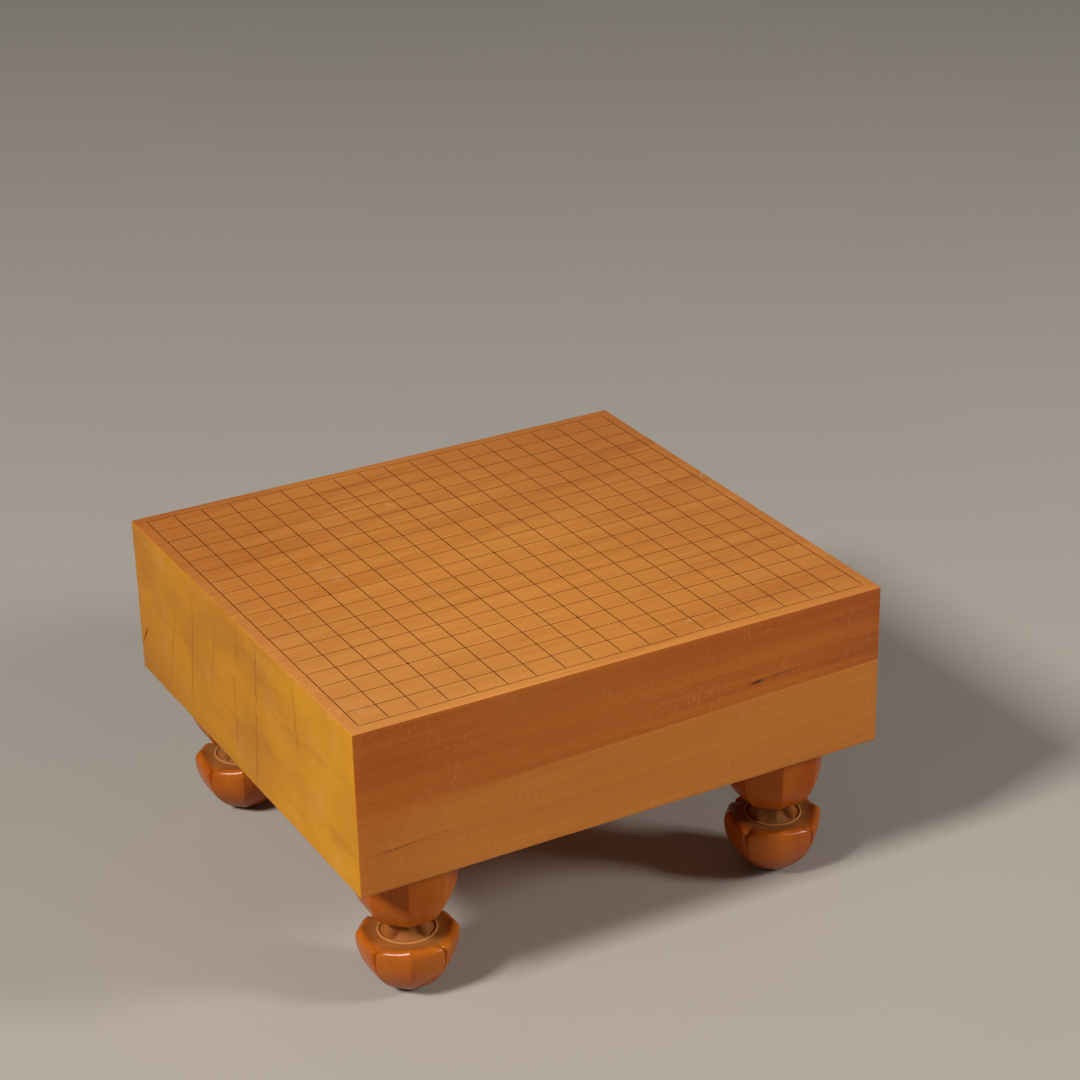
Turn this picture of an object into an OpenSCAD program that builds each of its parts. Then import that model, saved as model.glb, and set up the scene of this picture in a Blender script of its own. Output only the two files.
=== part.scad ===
// Floor go board: a solid wooden block with a lacquered grid, standing on four carved legs.
// Origin on the floor under the middle of the block, +X along the grain, +Z up. Millimetres.

/* [Block] */
// Length of the block along the grain
block_length = 455; // [420:1:490]
// Width of the block across the grain
block_width = 424; // [390:1:450]
// Thickness of the block
block_thickness = 136; // [70:1:240]
// Flat planed along every arris of the block
arris = 1; // [0.4:0.1:4]

/* [Grid] */
// Bare wood from the block's edge to the middle of the outermost lines
grid_margin = 10; // [7:0.5:20]
// Number of lines each way
line_count = 19; // [9, 13, 19]
// Which line from the edge carries the outer star points
star_line = 4; // [3:1:4]
// Width of a lacquered line
line_width = 0.7; // [0.4:0.1:1.5]
// Height of the lines along the grain above the wood
along_height = 0.12; // [0.05:0.01:0.3]
// Lacquer of the lines across the grain where they pass over the others
cross_cover = 0.1; // [0.05:0.01:0.3]
// Diameter of a star point
star_diameter = 2.4; // [1.8:0.1:5]

/* [Hollow under the block] */
// Width of the square hollow at its mouth
hollow_mouth = 90; // [70:1:130]
// Depth of the hollow
hollow_depth = 25; // [10:1:40]
// How far each wall leans in from the mouth to the floor of the hollow
hollow_lean = 20; // [5:1:30]

/* [Leg position] */
// Height of the block's underside above the floor
leg_height = 124; // [110:1:160]
// Distance of a leg's axis from the end of the block
leg_from_end = 61; // [50:1:90]
// Distance of a leg's axis from the side of the block
leg_from_side = 54; // [50:1:90]

/* [Tenon] */
// Diameter of the tenon on top of a leg
tenon_diameter = 30; // [20:0.5:34]
// Length of the tenon
tenon_length = 38; // [20:1:50]
// Radial clearance of the tenon in its mortise
tenon_clearance = 0.05; // [0.02:0.01:0.1]
// Room left above the tenon's end
mortise_spare = 2; // [1:0.5:6]
// Chamfer on the tenon's end
tenon_chamfer = 2; // [0.5:0.5:4]

/* [Bell, the upper half of a leg] */
// Width across the flats against the block
bell_top_width = 77; // [60:1:90]
// Width across the flats where the sides begin to curve in
bell_mid_width = 73.4; // [56:0.1:86]
// Width across the flats at the lower end
bell_foot_width = 47; // [44:0.5:58]
// Height of the nearly straight part
bell_straight = 33; // [10:1:40]
// Height of the whole bell
bell_height = 60; // [50:1:70]

/* [Neck] */
// Width across the flats at the top of the neck
neck_width = 26; // [24:0.5:34]
// Height of the neck between the bell and the fruit
neck_height = 15; // [12:0.5:20]
// Diameter of the ring at the root of the neck
ring_diameter = 45; // [43:0.5:50]
// Thickness of that ring
ring_thickness = 2.4; // [1:0.2:4]
// Diameter of the four small buds round the neck
bud_diameter = 9; // [6:0.5:10]
// Depth of a bud's middle below the bell
bud_drop = 10.5; // [8:0.1:12]

/* [Fruit, the lower half of a leg] */
// Width across the flats at the widest
fruit_width = 74; // [66:1:84]
// Radius that rounds the rim
rim_round = 6.5; // [4:0.5:8]
// Depth of the dished shoulder inside the rim
dish_depth = 1.5; // [0.5:0.1:3]
// Width across the flats of the face that stands on the floor
base_width = 16.6; // [10:0.2:26]
// Depth, at the widest, of the grooves that part the four lobes
groove_depth = 6; // [3:0.5:10]
// Depth of those grooves at the foot
groove_foot = 1.5; // [0.5:0.1:2.5]
// Half the width of a groove for each unit of its depth
groove_slope = 0.35; // [0.2:0.05:0.7]

/* [Hidden] */
$fn = 64;

block_colour = "#c58a4a";
leg_colour = "#a8562c";
lacquer_colour = "#2b1a12";

// Depth by which joined shapes run into each other, and by which cutters stand proud
sink = 1;

// Heights and places on the block
top_z = leg_height + block_thickness;
leg_x = block_length / 2 - leg_from_end;
leg_y = block_width / 2 - leg_from_side;
mortise_depth = tenon_length + mortise_spare;

// Grid spacing and the crossings that carry star points
grid_length = block_length - 2 * grid_margin;
grid_width = block_width - 2 * grid_margin;
pitch_x = grid_length / (line_count - 1);
pitch_y = grid_width / (line_count - 1);
across_height = along_height + cross_cover;
star_lines = [star_line - 1, (line_count - 1) / 2, line_count - star_line];

// Heights on a leg, measured down from the block's underside
rim_depth = bell_height + neck_height;
widest_depth = rim_depth + rim_round;

// An eight-sided section: flats face the block's sides, corners lie between them
sides = 8;
corner_angle = 180 / sides;
fruit_corner = fruit_width / 2 / cos(corner_angle);
bell_corner = bell_top_width / 2 / cos(corner_angle);
blank_reach = 2 * max(fruit_corner, bell_corner) + 2 * sink;

// Fullness of the curved stretches and the number of flats that follow them
bell_fullness = 1.6;
fruit_fullness = 2;
curve_power = 1.4;
bell_steps = 8;
fruit_steps = 10;
rim_step = 22.5;
neck_step = 15;

// Dished shoulder from under the ring to the rim
ring_radius = ring_diameter / 2;
dish_outer = fruit_width / 2 - rim_round;
dish_half = (dish_outer - ring_radius) / 2;
dish_radius = (dish_half * dish_half + dish_depth * dish_depth) / (2 * dish_depth);

// The neck flares from its top to a root inside the ring, and the buds sit on its corners
neck_half = neck_width / 2;
neck_flare = ring_radius * cos(corner_angle) - neck_half;
bud_turn = asin(min(1, bud_drop / neck_height));
bud_reach = (neck_half + neck_flare * (1 - cos(bud_turn))) / cos(corner_angle);

// Each groove's bottom is a circle about the leg's axis, through one point at the widest and one at the foot
groove_reach = fruit_corner - groove_depth;
groove_end = base_width / 2 / cos(corner_angle) - groove_foot;
groove_centre = (pow(groove_end, 2) + pow(leg_height, 2) - pow(groove_reach, 2) - pow(widest_depth, 2))
    / (2 * (leg_height - widest_depth));
groove_radius = norm([groove_reach, widest_depth - groove_centre]);

// Share of the full half width that is left at a share t of the way down a curve
function swell(t, fullness) = pow(max(0, 1 - pow(t, fullness)), 1 / curve_power);

// Steps that crowd together towards the end of a curve, where it turns fastest
function eased(i, count) = sin(90 * i / count);

// Half outlines, as [half width across the flats, height], from the top down
bell_outline = concat(
    [[bell_top_width / 2, 0]],
    [for (i = [0:bell_steps])
        let (t = eased(i, bell_steps))
        [bell_foot_width / 2 + (bell_mid_width - bell_foot_width) / 2 * swell(t, bell_fullness),
         -bell_straight - t * (bell_height - bell_straight)]]
);
neck_outline = concat(
    [[neck_half, -bell_height + sink]],
    [for (a = [neck_step:neck_step:90 - neck_step])
        [neck_half + neck_flare * (1 - cos(a)), -bell_height - neck_height * sin(a)]],
    [[neck_half + neck_flare, -rim_depth - sink]]
);
fruit_outline = concat(
    [for (a = [0:rim_step:90])
        [fruit_width / 2 - rim_round * (1 - sin(a)), -rim_depth - rim_round * (1 - cos(a))]],
    [for (i = [1:fruit_steps])
        let (t = eased(i, fruit_steps))
        [base_width / 2 + (fruit_width - base_width) / 2 * swell(t, fruit_fullness),
         -widest_depth - t * (leg_height - widest_depth)]]
);

// Eight flats cut to one outline, as a carver takes them from a square blank
module eight_sided(outline) {
    last = len(outline) - 1;
    mirrored = [for (i = [last:-1:0]) [-outline[i].x, outline[i].y]];
    intersection_for (turn = [0:360 / sides:180 - 360 / sides])
        rotate([90, 0, turn])
            linear_extrude(height = blank_reach, center = true)
                polygon(concat(outline, mirrored));
}

// A rectangle with its corners planed off
module planed_rectangle(width, height) {
    polygon([
        [-width / 2 + arris, -height / 2], [width / 2 - arris, -height / 2],
        [width / 2, -height / 2 + arris], [width / 2, height / 2 - arris],
        [width / 2 - arris, height / 2], [-width / 2 + arris, height / 2],
        [-width / 2, height / 2 - arris], [-width / 2, -height / 2 + arris]
    ]);
}

// The block's outside, with every arris planed
module planed_block() {
    intersection() {
        linear_extrude(height = block_thickness, center = true)
            planed_rectangle(block_length, block_width);
        rotate([90, 0, 0])
            linear_extrude(height = block_width, center = true)
                planed_rectangle(block_length, block_thickness);
        rotate([90, 0, 90])
            linear_extrude(height = block_length, center = true)
                planed_rectangle(block_width, block_thickness);
    }
}

// One pair of leaning walls of the hollow, as a trapezium pushed through
module hollow_trapezium() {
    lean_below = hollow_lean * sink / hollow_depth;
    mouth = hollow_mouth / 2 + lean_below;
    floor_half = hollow_mouth / 2 - hollow_lean;
    rotate([90, 0, 0])
        linear_extrude(height = hollow_mouth + 4 * lean_below, center = true)
            polygon([[-mouth, -sink], [mouth, -sink], [floor_half, hollow_depth], [-floor_half, hollow_depth]]);
}

// The square hollow in the underside
module hollow() {
    intersection() {
        hollow_trapezium();
        rotate([0, 0, 90]) hollow_trapezium();
    }
}

// Runs its children once at each leg's axis, on the block's underside
module at_each_leg() {
    for (x = [-leg_x, leg_x], y = [-leg_y, leg_y])
        translate([x, y, leg_height]) children();
}

module board_block() {
    color(block_colour)
    difference() {
        translate([0, 0, leg_height + block_thickness / 2]) planed_block();
        translate([0, 0, leg_height]) hollow();
        at_each_leg()
            translate([0, 0, -sink])
                cylinder(d = tenon_diameter + 2 * tenon_clearance, h = mortise_depth + sink);
    }
}

// The round tenon that pushes up into the block
module tenon() {
    translate([0, 0, -sink])
        cylinder(d = tenon_diameter, h = tenon_length - tenon_chamfer + sink);
    translate([0, 0, tenon_length - tenon_chamfer])
        cylinder(d1 = tenon_diameter, d2 = tenon_diameter - 2 * tenon_chamfer, h = tenon_chamfer);
}

// The neck flares into the shoulder, with a ring at its root
module neck() {
    eight_sided(neck_outline);
    rotate_extrude()
        translate([ring_radius, -rim_depth]) circle(d = ring_thickness);
    for (turn = [0:90:270])
        rotate([0, 0, turn + corner_angle])
            translate([bud_reach, 0, -bell_height - bud_drop])
                rotate([90, 0, 0]) sphere(d = bud_diameter);
}

// A ring with a V edge, upright in the plane of two opposite grooves
module groove_ring() {
    reach = fruit_corner;
    intersection() {
        translate([0, 0, -groove_centre])
            rotate([90, 0, 0])
                rotate_extrude()
                    polygon([[groove_radius, 0],
                             [groove_radius + reach, -reach * groove_slope],
                             [groove_radius + reach, reach * groove_slope]]);
        translate([-blank_reach, -blank_reach, -leg_height - sink])
            cube([2 * blank_reach, 2 * blank_reach, leg_height - rim_depth + 2 * sink]);
    }
}

// The four-lobed fruit with its dished shoulder
module fruit() {
    difference() {
        eight_sided(fruit_outline);
        rotate_extrude()
            translate([(ring_radius + dish_outer) / 2, -rim_depth - dish_depth + dish_radius])
                circle(r = dish_radius);
        for (turn = [0, 90])
            rotate([0, 0, turn + corner_angle]) groove_ring();
    }
}

// A whole leg, with its shoulder at the origin and its tenon upwards
module leg() {
    color(leg_colour) {
        tenon();
        eight_sided(bell_outline);
        neck();
        fruit();
    }
}

module leg_front_left() { translate([-leg_x, -leg_y, leg_height]) leg(); }
module leg_front_right() { translate([leg_x, -leg_y, leg_height]) leg(); }
module leg_back_left() { translate([-leg_x, leg_y, leg_height]) leg(); }
module leg_back_right() { translate([leg_x, leg_y, leg_height]) leg(); }

// Bars of lacquer with the grain, as tall as asked
module along_bars(height) {
    for (i = [0:line_count - 1])
        translate([-grid_length / 2 - line_width / 2, -grid_width / 2 + i * pitch_y - line_width / 2, top_z])
            cube([grid_length + line_width, line_width, height]);
}

// Bars of lacquer across the grain
module across_bars() {
    for (i = [0:line_count - 1])
        translate([-grid_length / 2 + i * pitch_x - line_width / 2, -grid_width / 2 - line_width / 2, top_z])
            cube([line_width, grid_width + line_width, across_height]);
}

module lines_along_grain() {
    color(lacquer_colour) along_bars(along_height);
}

module lines_across_grain() {
    color(lacquer_colour)
    difference() {
        across_bars();
        along_bars(along_height);
    }
}

module star_points() {
    color(lacquer_colour)
    difference() {
        for (i = star_lines, j = star_lines)
            translate([-grid_length / 2 + i * pitch_x, -grid_width / 2 + j * pitch_y, top_z])
                cylinder(d = star_diameter, h = across_height);
        along_bars(along_height);
        across_bars();
    }
}

board_block();
leg_front_left();
leg_front_right();
leg_back_left();
leg_back_right();
lines_along_grain();
lines_across_grain();
star_points();
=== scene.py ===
# %% [markdown]
# # A floor go board, dressed in Blender
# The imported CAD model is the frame: a thick block of wood with a lacquered grid, on four carved legs
# that pull out of its underside. This lesson keeps every size from that frame and gives each piece its
# surface: soft arrises, carved lobes, wood that has grain all through it, and lines that stand up as
# drops of lacquer.

# %% Load the frame
import bmesh
import bpy
import math
from collections import namedtuple
from mathutils import Matrix, Vector, noise


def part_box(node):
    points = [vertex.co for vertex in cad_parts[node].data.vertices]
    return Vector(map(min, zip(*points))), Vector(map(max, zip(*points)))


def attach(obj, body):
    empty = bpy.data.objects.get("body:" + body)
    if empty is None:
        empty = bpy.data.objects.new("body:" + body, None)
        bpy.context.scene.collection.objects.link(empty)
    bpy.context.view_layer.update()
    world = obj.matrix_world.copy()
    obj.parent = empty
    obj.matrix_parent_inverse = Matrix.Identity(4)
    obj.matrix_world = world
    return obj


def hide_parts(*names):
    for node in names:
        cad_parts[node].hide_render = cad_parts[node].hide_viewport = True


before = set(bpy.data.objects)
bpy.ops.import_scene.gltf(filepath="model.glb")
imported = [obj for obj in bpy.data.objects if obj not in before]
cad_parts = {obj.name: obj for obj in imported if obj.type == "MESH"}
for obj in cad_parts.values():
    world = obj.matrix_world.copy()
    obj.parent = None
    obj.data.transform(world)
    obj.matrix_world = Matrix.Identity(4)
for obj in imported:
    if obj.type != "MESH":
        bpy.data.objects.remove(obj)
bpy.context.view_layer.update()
block_low, block_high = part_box("board_block")
TOP = block_high.z
UNDERSIDE = block_low.z
HALF_LENGTH = block_high.x
HALF_WIDTH = block_high.y
LEG_NAMES = ["leg_front_left", "leg_front_right", "leg_back_left", "leg_back_right"]

# %% [markdown]
# The camera comes first, because every later step is judged through it. It could be placed by eye, but
# the block is a box of known size, so its corners give the angles, the distance and the lens. The
# camera is turned by three angles: round the board, above it, and a slight roll.

# %% Camera
CAMERA_PLACE = Vector((-0.90696, -1.74212, 1.06866 + UNDERSIDE))
CAMERA_AROUND = math.radians(-28.584)
CAMERA_ABOVE = math.radians(25.160)
CAMERA_ROLL = math.radians(-1.257)
CAMERA_LENS = 90.29
CAMERA_SENSOR = 36.0


def camera_axes():
    """Right, up and back of the camera, from its three angles."""
    back = Vector((
        math.sin(CAMERA_AROUND) * math.cos(CAMERA_ABOVE),
        -math.cos(CAMERA_AROUND) * math.cos(CAMERA_ABOVE),
        math.sin(CAMERA_ABOVE),
    ))
    level = Vector((math.cos(CAMERA_AROUND), math.sin(CAMERA_AROUND), 0))
    upright = back.cross(level)
    right = math.cos(CAMERA_ROLL) * level + math.sin(CAMERA_ROLL) * upright
    up = math.cos(CAMERA_ROLL) * upright - math.sin(CAMERA_ROLL) * level
    return right, up, back


lens = bpy.data.cameras.new("camera")
lens.lens = CAMERA_LENS
lens.sensor_width = CAMERA_SENSOR
camera = bpy.data.objects.new("camera", lens)
bpy.context.scene.collection.objects.link(camera)
camera.matrix_world = Matrix.Translation(CAMERA_PLACE) @ Matrix(camera_axes()).transposed().to_4x4()
bpy.context.scene.camera = camera
print("camera at", tuple(round(v, 3) for v in CAMERA_PLACE))

# %% [markdown]
# Wood is a solid thing: the same rings and fibres come out on the top, the sides and the ends. A
# picture wrapped round the block would break at every edge, so the finishes are sums of noise in the
# block's own space. To keep those sums readable, one small class wraps a shader socket, and Python's
# own operators add the nodes. Any node that isn't arithmetic comes from its `node` method.


# %% A socket that can be added up
class Wire:
    """One shader socket: its sums and products add the Math nodes that work them out."""

    def __init__(self, tree, socket=None):
        self.tree = tree
        self.socket = socket

    def node(self, kind, settings=None, inputs=None, output=0):
        made = self.tree.nodes.new(kind)
        for name, setting in (settings or {}).items():
            setattr(made, name, setting)
        for name, given in (inputs or {}).items():
            if isinstance(given, Wire):
                self.tree.links.new(given.socket, made.inputs[name])
            else:
                made.inputs[name].default_value = given
        return Wire(self.tree, made.outputs[output] if made.outputs else None)

    def outputs(self):
        return [Wire(self.tree, socket) for socket in self.socket.node.outputs]

    def math(self, operation, *terms):
        return self.node("ShaderNodeMath", {"operation": operation}, dict(enumerate(terms)))

    def __add__(self, other):
        return self.math("ADD", self, other)

    def __radd__(self, other):
        return self.math("ADD", other, self)

    def __sub__(self, other):
        return self.math("SUBTRACT", self, other)

    def __rsub__(self, other):
        return self.math("SUBTRACT", other, self)

    def __mul__(self, other):
        return self.math("MULTIPLY", self, other)

    def __rmul__(self, other):
        return self.math("MULTIPLY", other, self)

    def __truediv__(self, other):
        return self.math("DIVIDE", self, other)

    def __rtruediv__(self, other):
        return self.math("DIVIDE", other, self)

    def __pow__(self, other):
        return self.math("POWER", self, other)

    def __abs__(self):
        return self.math("ABSOLUTE", self)

    def ramp(self, low, high):
        """A soft step from 0 at low to 1 at high."""
        return self.node(
            "ShaderNodeMapRange",
            {"interpolation_type": "SMOOTHSTEP"},
            {"Value": self, "From Min": low, "From Max": high},
        )

    def mix(self, first, second, share, way="MIX"):
        """Two colours mixed by a share, on this wire's tree."""
        return self.node(
            "ShaderNodeMix",
            {"data_type": "RGBA", "blend_type": way},
            {0: share, 6: first, 7: second},
            2,
        )


print("sockets can now be written as sums")

# %% [markdown]
# Each finish starts and ends the same way: an empty material, a place in the piece's own space, and a
# glossy shader at the end. Grain is noise squeezed across the fibres and stretched along them, so one
# function with a different stretch gives fibres, streaks and broad bands.


# %% Start, grain and close of a finish
GRAIN_ROUGHNESS = 0.55


def start_finish(name):
    """An empty material, a wire on its tree, and the place in the piece's own space."""
    material = bpy.data.materials.new(name)
    material.use_nodes = True
    material.node_tree.nodes.clear()
    root = Wire(material.node_tree)
    return material, root, root.node("ShaderNodeTexCoord", output="Object")


def axes_of(place):
    """The x, y and z of a place, as three wires."""
    return place.node("ShaderNodeSeparateXYZ", inputs={"Vector": place}).outputs()


def grain(place, stretch, detail=2.0, offset=(0.0, 0.0, 0.0)):
    """Noise that is squeezed by stretch, in cycles a metre along each axis."""
    squeezed = place.node(
        "ShaderNodeVectorMath",
        {"operation": "MULTIPLY_ADD"},
        {0: place, 1: stretch, 2: offset},
    )
    return place.node(
        "ShaderNodeTexNoise",
        inputs={"Vector": squeezed, "Scale": 1.0, "Detail": detail, "Roughness": GRAIN_ROUGHNESS},
    )


def close_finish(root, inputs):
    """A glossy shader with these inputs, as the surface of the material."""
    shader = root.node("ShaderNodeBsdfPrincipled", inputs=inputs)
    root.node("ShaderNodeOutputMaterial", inputs={"Surface": shader})


def bumped(root, height, strength, distance):
    """A normal that is tilted as if the surface had this height."""
    return root.node(
        "ShaderNodeBump",
        inputs={"Height": height, "Strength": strength, "Distance": distance},
    )


print("a finish starts with an empty tree and a place in the piece's own space")

# %% [markdown]
# The block is cut from one trunk. Its rings run round a heart that lies above the top face, so on the
# ends they show as shallow bowls, and on the long sides as lines along the grain. Redder heartwood
# meets paler wood along one ring, which comes out on the front face as a line that rises a little to
# the right and softens to the left. These values place that heart and that ring.

# %% The trunk
HEART_Y = 0.020
HEART_Z = TOP + 0.25
RING_SPACING = 0.0023
RING_WANDER = 0.005
BORDER_HEIGHT = 0.0666
BORDER_RISE = 0.0264
WANDER_STRETCH = (1.3, 9.0, 9.0)
FIBRE_STRETCH = (11.0, 900.0, 900.0)
STREAK_STRETCH = (2.6, 130.0, 130.0)
BAND_STRETCH = (1.4, 13.0, 13.0)
BAND_OFFSET = (0.0, 3.7, 1.9)
WOOD_BUMP = 0.25
WOOD_BUMP_DEPTH = 0.00006


def border_radius(x):
    """Distance of the heartwood's border from the heart, where it meets the front face at x."""
    drop = HEART_Z - (UNDERSIDE + BORDER_HEIGHT + BORDER_RISE * x)
    return math.hypot(-HALF_WIDTH - HEART_Y, drop)


def from_heart(place, y, z):
    """Distance from the heart, with a little wander."""
    across = y - HEART_Y
    below = HEART_Z - z
    wander = (grain(place, WANDER_STRETCH) - 0.5) * RING_WANDER
    return (across * across + below * below) ** 0.5 + wander


def late_wood_of(radius):
    """The dark wood that closes each ring."""
    rings = radius / RING_SPACING
    turn = rings.math("FRACT", rings)
    return turn.ramp(0.45, 0.92) * turn.ramp(1.0, 0.93)


def fibres(place):
    """Fine lines along the grain."""
    return grain(place, FIBRE_STRETCH, 3.0).ramp(0.3, 0.7)


def streaks(place):
    """Soft streaks, a few millimetres wide."""
    return grain(place, STREAK_STRETCH, 3.0).ramp(0.34, 0.68)


def bands(place):
    """Broad paler and darker bands."""
    return grain(place, BAND_STRETCH, 2.0, BAND_OFFSET).ramp(0.38, 0.66)


def planed(root, fibre, late_wood):
    """The normal of a planed face, with fine fibres and slightly raised late wood."""
    return bumped(root, fibre * 0.6 + late_wood * 0.4, WOOD_BUMP, WOOD_BUMP_DEPTH)


print("border of the heartwood at mid length:", round(border_radius(0.0), 4), "m from the heart")

# %% [markdown]
# The playing face is honey-coloured, with fine fibres along the board and soft redder patches. It is a
# little redder towards the far side and the left end, partly the wood's own tone and partly painted
# shade; it is darker towards the far side and the right end as painted shade, and paler at the near
# corner as painted light. Years of play left a few pale scuffs, most of them near the corner and at
# the right-hand edge. The scuffs could be a painted mask, but a short list of places is easier to
# change.

# %% Finish of the playing face
TOP_PALE = (0.735, 0.284, 0.054, 1)
TOP_HONEY = (0.650, 0.227, 0.039, 1)
TOP_RED = (0.476, 0.131, 0.020, 1)
TOP_SHADED = (0.850, 0.780, 0.860, 1)
# Paler colour for the near corner of the top: painted light
TOP_PAINTED_LIGHT = (0.728, 0.295, 0.076, 1)
SCUFF_PALE = (0.740, 0.440, 0.220, 1)
WOOD_SHEEN = 0.20
GRAIN_SLANT = 0.14
# Places on the top as x, y and size, in metres
TOP_SCUFFS = [
    (-0.220, -0.177, 0.004), (-0.207, -0.181, 0.006), (-0.132, 0.048, 0.005), (-0.128, 0.023, 0.007),
    (-0.066, 0.023, 0.004), (-0.072, -0.035, 0.005), (0.2225, -0.012, 0.004), (0.224, 0.043, 0.005),
    (-0.030, 0.127, 0.004), (0.071, -0.183, 0.004),
]


def top_finish():
    """Honey-coloured wood with redder patches and scuffs."""
    material, root, place = start_finish("board_top_wood")
    x, y, z = axes_of(place)
    late_wood = late_wood_of(from_heart(place, y, z))
    fibre = fibres(place)
    streak = streaks(place)
    slanted = root.node("ShaderNodeCombineXYZ", inputs={"X": x, "Y": y - x * GRAIN_SLANT, "Z": z})
    # Redder towards the far side and the left end: partly the wood's own tone, partly painted shade
    redder_side_and_painted_shade = y.ramp(-0.06, HALF_WIDTH) * 0.30 + x.ramp(-0.06, -HALF_LENGTH) * 0.28
    margin = x.ramp(-HALF_LENGTH + 0.012, -HALF_LENGTH + 0.006)
    shaded_side = x.ramp(-0.05, HALF_LENGTH) * 0.75 + y.ramp(0.0, HALF_WIDTH) * 0.35
    # Paler towards the near corner: painted light
    painted_light_near_corner = (x + y).ramp(-0.08, -HALF_LENGTH - HALF_WIDTH)
    patch = grain(slanted, (3.4, 46.0, 46.0), 3.0, (5.1, 0.0, 0.0)).ramp(0.42, 0.72)
    colour = root.mix(TOP_PALE, TOP_HONEY, streak * 0.40 + bands(place) * 0.40)
    colour = root.mix(colour, TOP_RED, patch * 0.34 + redder_side_and_painted_shade + margin * 0.10)
    colour = root.mix(colour, TOP_RED, late_wood * 0.10)
    colour = root.mix(colour, TOP_SHADED, shaded_side, "MULTIPLY")
    colour = root.mix(colour, TOP_PAINTED_LIGHT, painted_light_near_corner * 0.55)
    colour = root.mix(colour, 0.90 + fibre * 0.17, 1.0, "MULTIPLY")
    breakup = grain(place, (260.0, 420.0, 1.0), 3.0).ramp(0.42, 0.68)
    worn = 0.0
    for scuff_x, scuff_y, size in TOP_SCUFFS:
        gap = (((x - scuff_x) / size) ** 2 + ((y - scuff_y) / size) ** 2) ** 0.5
        worn = gap.ramp(1.3, 0.2) + worn
    specks = grain(place, (190.0, 330.0, 1.0), 2.0, (0.0, 7.0, 0.0)).ramp(0.70, 0.80)
    worn = worn * breakup * 0.55 + specks * 0.10
    colour = root.mix(colour, SCUFF_PALE, worn)
    close_finish(root, {
        "Base Color": colour,
        "Roughness": 0.40 + streak * 0.06 + worn * 0.25,
        "Specular IOR Level": WOOD_SHEEN,
        "Normal": planed(root, fibre, late_wood),
    })
    return material


print("top finish:", len(TOP_SCUFFS), "scuffs by place")

# %% [markdown]
# The long sides show the border between the two woods, fine level lines, one small dark knot with a
# tail, and a scatter of pale upright scuffs from handling. The border is a distance from the heart, so
# it carries on by itself round the far side of the block.

# %% Finish of the long sides
HEARTWOOD = (0.430, 0.095, 0.008, 1)
HEARTWOOD_PALE = (0.530, 0.142, 0.016, 1)
HEARTWOOD_DEEP = (0.320, 0.064, 0.007, 1)
SAPWOOD = (0.500, 0.160, 0.022, 1)
SAPWOOD_PALE = (0.570, 0.195, 0.028, 1)
KNOT_DARK = (0.060, 0.016, 0.005, 1)
SIDE_SCUFF = (0.640, 0.300, 0.100, 1)
# Marks on the front face as x, height above the underside, half length, half height and strength
SIDE_MARKS = [
    (0.1134, 0.0840, 0.0115, 0.0021, 0.95),
    (0.1340, 0.0855, 0.0300, 0.0020, 0.40),
    (-0.1960, 0.0335, 0.0300, 0.0011, 0.55),
    (-0.1650, 0.0352, 0.0240, 0.0009, 0.30),
]
MARK_RISE = 0.045
BORDER_SOFT = 0.0007
BORDER_BLUR = 0.013


def side_finish():
    """Heartwood above the border and paler wood below it."""
    material, root, place = start_finish("board_side_wood")
    x, y, z = axes_of(place)
    radius = from_heart(place, y, z)
    fibre = fibres(place)
    streak = streaks(place)
    band = bands(place)
    late_wood = late_wood_of(radius)
    middle = border_radius(0.0)
    lean = border_radius(1.0) - middle
    softness = BORDER_SOFT + x.ramp(-0.07, -0.21) * BORDER_BLUR
    past_border = (radius - (middle + x * lean)) / softness
    sap = past_border.ramp(-1.0, 1.0)
    edge_line = abs(past_border - 1.6).ramp(1.5, 0.0) * x.ramp(-0.14, -0.02)
    heart = root.mix(HEARTWOOD, HEARTWOOD_PALE, band * 0.7)
    # The streaks are the wood's own; the darkening towards the right end of the heartwood is painted
    # shade
    heart = root.mix(heart, HEARTWOOD_DEEP, streak * 0.40 + x.ramp(0.13, 0.22) * 0.30)
    heart = root.mix(heart, SAPWOOD, x.ramp(-0.20, -0.09) * x.ramp(0.08, -0.02) * 0.30)
    pale = root.mix(SAPWOOD, SAPWOOD_PALE, band * 0.5 + streak * 0.3)
    # Towards the left end the pale wood takes the darker heartwood colour: painted shade
    pale = root.mix(pale, HEARTWOOD, x.ramp(-0.14, -0.22) * 0.35)
    colour = root.mix(heart, pale, sap)
    colour = root.mix(colour, SAPWOOD_PALE, edge_line * 0.6)
    colour = root.mix(colour, HEARTWOOD_DEEP, late_wood * 0.14)
    colour = root.mix(colour, 0.93 + fibre * 0.12, 1.0, "MULTIPLY")
    front = y.ramp(-HALF_WIDTH + 0.01, -HALF_WIDTH + 0.005)
    for mark_x, mark_z, length, height, strength in SIDE_MARKS:
        off = z - (UNDERSIDE + mark_z) - (x - mark_x) * MARK_RISE
        gap = (((x - mark_x) / length) ** 2 + (off / height) ** 2) ** 0.5
        colour = root.mix(colour, KNOT_DARK, gap.ramp(1.0, 0.1) * strength * front)
    clusters = grain(place, (15.0, 15.0, 20.0), 2.0, (2.0, 0.0, 0.0)).ramp(0.40, 0.62)
    strokes = grain(place, (560.0, 560.0, 120.0), 2.0).ramp(0.57, 0.70)
    dots = grain(place, (380.0, 380.0, 380.0), 2.0).ramp(0.62, 0.72)
    worn = clusters * strokes * 0.20 + clusters * dots * 0.30
    colour = root.mix(colour, SIDE_SCUFF, worn)
    close_finish(root, {
        "Base Color": colour,
        "Roughness": 0.42 + streak * 0.08 + worn * 0.2,
        "Specular IOR Level": WOOD_SHEEN,
        "Normal": planed(root, fibre, late_wood),
    })
    return material


print("side finish:", len(SIDE_MARKS), "marks on the front face")

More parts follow.
